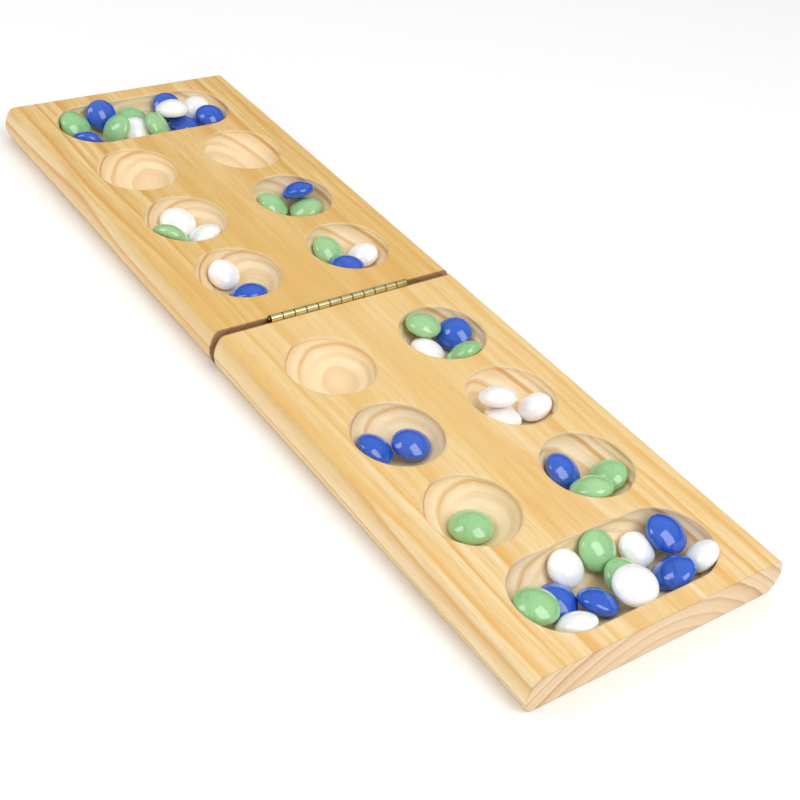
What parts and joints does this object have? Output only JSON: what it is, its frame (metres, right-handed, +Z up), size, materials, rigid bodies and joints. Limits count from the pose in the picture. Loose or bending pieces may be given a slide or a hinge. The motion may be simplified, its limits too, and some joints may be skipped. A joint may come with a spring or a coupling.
{
  "type": "folding mancala board",
  "caption": "Folding wooden mancala board, opened flat: two hinged halves with round pits and a long store each, holding glass stones.",
  "frame": {"origin": "on the underside, at the middle of the opened board, below the hinge pin", "axes": "+X along the board towards the half that folds over, +Y across the board, +Z up out of the pits"},
  "size_m": [0.44, 0.133, 0.0233],
  "materials": {
    "pine": "clear varnish, satin to gloss",
    "brass": "polished",
    "blue_glass": "glossy, opaque",
    "green_glass": "glossy, opaque",
    "white_glass": "glossy, opaque"
  },
  "bodies": {
    "fixed_half": {"board_half_fixed": "pine", "hinge_leaf_fixed": "brass", "hinge_screws_fixed": "brass", "hinge_pin": "brass"},
    "folding_half": {"board_half_folding": "pine", "hinge_leaf_folding": "brass", "hinge_screws_folding": "brass"},
    "stone_fixed_store_01_green": {"stone_fixed_store_01_green": "green_glass"},
    "stone_fixed_store_02_blue": {"stone_fixed_store_02_blue": "blue_glass"},
    "stone_fixed_store_08_blue": {"stone_fixed_store_08_blue": "blue_glass"},
    "stone_fixed_store_03_green": {"stone_fixed_store_03_green": "green_glass"},
    "stone_fixed_store_05_white": {"stone_fixed_store_05_white": "white_glass"},
    "stone_fixed_store_06_white": {"stone_fixed_store_06_white": "white_glass"},
    "stone_fixed_store_07_green": {"stone_fixed_store_07_green": "green_glass"},
    "stone_fixed_store_04_blue": {"stone_fixed_store_04_blue": "blue_glass"},
    "stone_fixed_store_09_blue": {"stone_fixed_store_09_blue": "blue_glass"},
    "stone_fixed_store_10_blue": {"stone_fixed_store_10_blue": "blue_glass"},
    "stone_fixed_store_11_green": {"stone_fixed_store_11_green": "green_glass"},
    "stone_fixed_store_12_white": {"stone_fixed_store_12_white": "white_glass"},
    "stone_fixed_left_2_01_white": {"stone_fixed_left_2_01_white": "white_glass"},
    "stone_fixed_left_2_02_green": {"stone_fixed_left_2_02_green": "green_glass"},
    "stone_fixed_left_2_03_white": {"stone_fixed_left_2_03_white": "white_glass"},
    "stone_fixed_left_1_01_white": {"stone_fixed_left_1_01_white": "white_glass"},
    "stone_fixed_left_1_02_blue": {"stone_fixed_left_1_02_blue": "blue_glass"},
    "stone_fixed_right_2_02_green": {"stone_fixed_right_2_02_green": "green_glass"},
    "stone_fixed_right_2_01_green": {"stone_fixed_right_2_01_green": "green_glass"},
    "stone_fixed_right_2_03_blue": {"stone_fixed_right_2_03_blue": "blue_glass"},
    "stone_fixed_right_1_01_green": {"stone_fixed_right_1_01_green": "green_glass"},
    "stone_fixed_right_1_02_white": {"stone_fixed_right_1_02_white": "white_glass"},
    "stone_fixed_right_1_03_blue": {"stone_fixed_right_1_03_blue": "blue_glass"},
    "stone_folding_left_2_01_blue": {"stone_folding_left_2_01_blue": "blue_glass"},
    "stone_folding_left_2_02_blue": {"stone_folding_left_2_02_blue": "blue_glass"},
    "stone_folding_left_3_01_green": {"stone_folding_left_3_01_green": "green_glass"},
    "stone_folding_right_1_02_blue": {"stone_folding_right_1_02_blue": "blue_glass"},
    "stone_folding_right_1_01_white": {"stone_folding_right_1_01_white": "white_glass"},
    "stone_folding_right_1_03_green": {"stone_folding_right_1_03_green": "green_glass"},
    "stone_folding_right_1_04_green": {"stone_folding_right_1_04_green": "green_glass"},
    "stone_folding_right_2_01_white": {"stone_folding_right_2_01_white": "white_glass"},
    "stone_folding_right_2_02_white": {"stone_folding_right_2_02_white": "white_glass"},
    "stone_folding_right_2_03_white": {"stone_folding_right_2_03_white": "white_glass"},
    "stone_folding_right_3_01_blue": {"stone_folding_right_3_01_blue": "blue_glass"},
    "stone_folding_right_3_02_green": {"stone_folding_right_3_02_green": "green_glass"},
    "stone_folding_right_3_03_green": {"stone_folding_right_3_03_green": "green_glass"},
    "stone_folding_store_01_white": {"stone_folding_store_01_white": "white_glass"},
    "stone_folding_store_03_white": {"stone_folding_store_03_white": "white_glass"},
    "stone_folding_store_04_blue": {"stone_folding_store_04_blue": "blue_glass"},
    "stone_folding_store_05_white": {"stone_folding_store_05_white": "white_glass"},
    "stone_folding_store_06_blue": {"stone_folding_store_06_blue": "blue_glass"},
    "stone_folding_store_08_blue": {"stone_folding_store_08_blue": "blue_glass"},
    "stone_folding_store_09_blue": {"stone_folding_store_09_blue": "blue_glass"},
    "stone_folding_store_02_green": {"stone_folding_store_02_green": "green_glass"},
    "stone_folding_store_07_green": {"stone_folding_store_07_green": "green_glass"},
    "stone_folding_store_10_white": {"stone_folding_store_10_white": "white_glass"},
    "stone_folding_store_11_green": {"stone_folding_store_11_green": "green_glass"},
    "stone_folding_store_12_white": {"stone_folding_store_12_white": "white_glass"}
  },
  "joints": [
    {"name": "board_fold", "type": "hinge", "parent": "fixed_half", "child": "folding_half", "pos_m": [0, 0, 0.0181], "axis": [0, -1, 0], "range_deg": [0, 180]},
    {"name": "lift_fixed_store_01_green", "type": "slide", "parent": "fixed_half", "child": "stone_fixed_store_01_green", "axis": [0, 0, 1], "range_m": [0, 0.04]},
    {"name": "lift_fixed_store_02_blue", "type": "slide", "parent": "fixed_half", "child": "stone_fixed_store_02_blue", "axis": [0, 0, 1], "range_m": [0, 0.04]},
    {"name": "lift_fixed_store_08_blue", "type": "slide", "parent": "fixed_half", "child": "stone_fixed_store_08_blue", "axis": [0, 0, 1], "range_m": [0, 0.04]},
    {"name": "lift_fixed_store_03_green", "type": "slide", "parent": "stone_fixed_store_08_blue", "child": "stone_fixed_store_03_green", "axis": [0, 0, 1], "range_m": [0, 0.04]},
    {"name": "lift_fixed_store_05_white", "type": "slide", "parent": "stone_fixed_store_08_blue", "child": "stone_fixed_store_05_white", "axis": [0, 0, 1], "range_m": [0, 0.04]},
    {"name": "lift_fixed_store_06_white", "type": "slide", "parent": "stone_fixed_store_03_green", "child": "stone_fixed_store_06_white", "axis": [0, 0, 1], "range_m": [0, 0.04]},
    {"name": "lift_fixed_store_07_green", "type": "slide", "parent": "stone_fixed_store_06_white", "child": "stone_fixed_store_07_green", "axis": [0, 0, 1], "range_m": [0, 0.04]},
    {"name": "lift_fixed_store_04_blue", "type": "slide", "parent": "stone_fixed_store_07_green", "child": "stone_fixed_store_04_blue", "axis": [0, 0, 1], "range_m": [0, 0.04]},
    {"name": "lift_fixed_store_09_blue", "type": "slide", "parent": "stone_fixed_store_05_white", "child": "stone_fixed_store_09_blue", "axis": [0, 0, 1], "range_m": [0, 0.04]},
    {"name": "lift_fixed_store_10_blue", "type": "slide", "parent": "fixed_half", "child": "stone_fixed_store_10_blue", "axis": [0, 0, 1], "range_m": [0, 0.04]},
    {"name": "lift_fixed_store_11_green", "type": "slide", "parent": "stone_fixed_store_06_white", "child": "stone_fixed_store_11_green", "axis": [0, 0, 1], "range_m": [0, 0.04]},
    {"name": "lift_fixed_store_12_white", "type": "slide", "parent": "stone_fixed_store_04_blue", "child": "stone_fixed_store_12_white", "axis": [0, 0, 1], "range_m": [0, 0.04]},
    {"name": "lift_fixed_left_2_01_white", "type": "slide", "parent": "fixed_half", "child": "stone_fixed_left_2_01_white", "axis": [0, 0, 1], "range_m": [0, 0.04]},
    {"name": "lift_fixed_left_2_02_green", "type": "slide", "parent": "fixed_half", "child": "stone_fixed_left_2_02_green", "axis": [0, 0, 1], "range_m": [0, 0.04]},
    {"name": "lift_fixed_left_2_03_white", "type": "slide", "parent": "fixed_half", "child": "stone_fixed_left_2_03_white", "axis": [0, 0, 1], "range_m": [0, 0.04]},
    {"name": "lift_fixed_left_1_01_white", "type": "slide", "parent": "fixed_half", "child": "stone_fixed_left_1_01_white", "axis": [0, 0, 1], "range_m": [0, 0.04]},
    {"name": "lift_fixed_left_1_02_blue", "type": "slide", "parent": "fixed_half", "child": "stone_fixed_left_1_02_blue", "axis": [0, 0, 1], "range_m": [0, 0.04]},
    {"name": "lift_fixed_right_2_02_green", "type": "slide", "parent": "fixed_half", "child": "stone_fixed_right_2_02_green", "axis": [0, 0, 1], "range_m": [0, 0.04]},
    {"name": "lift_fixed_right_2_01_green", "type": "slide", "parent": "stone_fixed_right_2_02_green", "child": "stone_fixed_right_2_01_green", "axis": [0, 0, 1], "range_m": [0, 0.04]},
    {"name": "lift_fixed_right_2_03_blue", "type": "slide", "parent": "stone_fixed_right_2_01_green", "child": "stone_fixed_right_2_03_blue", "axis": [0, 0, 1], "range_m": [0, 0.04]},
    {"name": "lift_fixed_right_1_01_green", "type": "slide", "parent": "fixed_half", "child": "stone_fixed_right_1_01_green", "axis": [0, 0, 1], "range_m": [0, 0.04]},
    {"name": "lift_fixed_right_1_02_white", "type": "slide", "parent": "fixed_half", "child": "stone_fixed_right_1_02_white", "axis": [0, 0, 1], "range_m": [0, 0.04]},
    {"name": "lift_fixed_right_1_03_blue", "type": "slide", "parent": "stone_fixed_right_1_02_white", "child": "stone_fixed_right_1_03_blue", "axis": [0, 0, 1], "range_m": [0, 0.04]},
    {"name": "lift_folding_left_2_01_blue", "type": "slide", "parent": "folding_half", "child": "stone_folding_left_2_01_blue", "axis": [0, 0, 1], "range_m": [0, 0.04]},
    {"name": "lift_folding_left_2_02_blue", "type": "slide", "parent": "stone_folding_left_2_01_blue", "child": "stone_folding_left_2_02_blue", "axis": [0, 0, 1], "range_m": [0, 0.04]},
    {"name": "lift_folding_left_3_01_green", "type": "slide", "parent": "folding_half", "child": "stone_folding_left_3_01_green", "axis": [0, 0, 1], "range_m": [0, 0.04]},
    {"name": "lift_folding_right_1_02_blue", "type": "slide", "parent": "folding_half", "child": "stone_folding_right_1_02_blue", "axis": [0, 0, 1], "range_m": [0, 0.04]},
    {"name": "lift_folding_right_1_01_white", "type": "slide", "parent": "stone_folding_right_1_02_blue", "child": "stone_folding_right_1_01_white", "axis": [0, 0, 1], "range_m": [0, 0.04]},
    {"name": "lift_folding_right_1_03_green", "type": "slide", "parent": "folding_half", "child": "stone_folding_right_1_03_green", "axis": [0, 0, 1], "range_m": [0, 0.04]},
    {"name": "lift_folding_right_1_04_green", "type": "slide", "parent": "stone_folding_right_1_01_white", "child": "stone_folding_right_1_04_green", "axis": [0, 0, 1], "range_m": [0, 0.04]},
    {"name": "lift_folding_right_2_01_white", "type": "slide", "parent": "folding_half", "child": "stone_folding_right_2_01_white", "axis": [0, 0, 1], "range_m": [0, 0.04]},
    {"name": "lift_folding_right_2_02_white", "type": "slide", "parent": "folding_half", "child": "stone_folding_right_2_02_white", "axis": [0, 0, 1], "range_m": [0, 0.04]},
    {"name": "lift_folding_right_2_03_white", "type": "slide", "parent": "stone_folding_right_2_01_white", "child": "stone_folding_right_2_03_white", "axis": [0, 0, 1], "range_m": [0, 0.04]},
    {"name": "lift_folding_right_3_01_blue", "type": "slide", "parent": "folding_half", "child": "stone_folding_right_3_01_blue", "axis": [0, 0, 1], "range_m": [0, 0.04]},
    {"name": "lift_folding_right_3_02_green", "type": "slide", "parent": "folding_half", "child": "stone_folding_right_3_02_green", "axis": [0, 0, 1], "range_m": [0, 0.04]},
    {"name": "lift_folding_right_3_03_green", "type": "slide", "parent": "stone_folding_right_3_02_green", "child": "stone_folding_right_3_03_green", "axis": [0, 0, 1], "range_m": [0, 0.04]},
    {"name": "lift_folding_store_01_white", "type": "slide", "parent": "folding_half", "child": "stone_folding_store_01_white", "axis": [0, 0, 1], "range_m": [0, 0.04]},
    {"name": "lift_folding_store_03_white", "type": "slide", "parent": "folding_half", "child": "stone_folding_store_03_white", "axis": [0, 0, 1], "range_m": [0, 0.04]},
    {"name": "lift_folding_store_04_blue", "type": "slide", "parent": "stone_folding_store_03_white", "child": "stone_folding_store_04_blue", "axis": [0, 0, 1], "range_m": [0, 0.04]},
    {"name": "lift_folding_store_05_white", "type": "slide", "parent": "folding_half", "child": "stone_folding_store_05_white", "axis": [0, 0, 1], "range_m": [0, 0.04]},
    {"name": "lift_folding_store_06_blue", "type": "slide", "parent": "stone_folding_store_05_white", "child": "stone_folding_store_06_blue", "axis": [0, 0, 1], "range_m": [0, 0.04]},
    {"name": "lift_folding_store_08_blue", "type": "slide", "parent": "folding_half", "child": "stone_folding_store_08_blue", "axis": [0, 0, 1], "range_m": [0, 0.04]},
    {"name": "lift_folding_store_09_blue", "type": "slide", "parent": "stone_folding_store_08_blue", "child": "stone_folding_store_09_blue", "axis": [0, 0, 1], "range_m": [0, 0.04]},
    {"name": "lift_folding_store_02_green", "type": "slide", "parent": "stone_folding_store_09_blue", "child": "stone_folding_store_02_green", "axis": [0, 0, 1], "range_m": [0, 0.04]},
    {"name": "lift_folding_store_07_green", "type": "slide", "parent": "stone_folding_store_02_green", "child": "stone_folding_store_07_green", "axis": [0, 0, 1], "range_m": [0, 0.04]},
    {"name": "lift_folding_store_10_white", "type": "slide", "parent": "stone_folding_store_08_blue", "child": "stone_folding_store_10_white", "axis": [0, 0, 1], "range_m": [0, 0.04]},
    {"name": "lift_folding_store_11_green", "type": "slide", "parent": "stone_folding_store_10_white", "child": "stone_folding_store_11_green", "axis": [0, 0, 1], "range_m": [0, 0.04]},
    {"name": "lift_folding_store_12_white", "type": "slide", "parent": "stone_folding_store_07_green", "child": "stone_folding_store_12_white", "axis": [0, 0, 1], "range_m": [0, 0.04]}
  ]
}
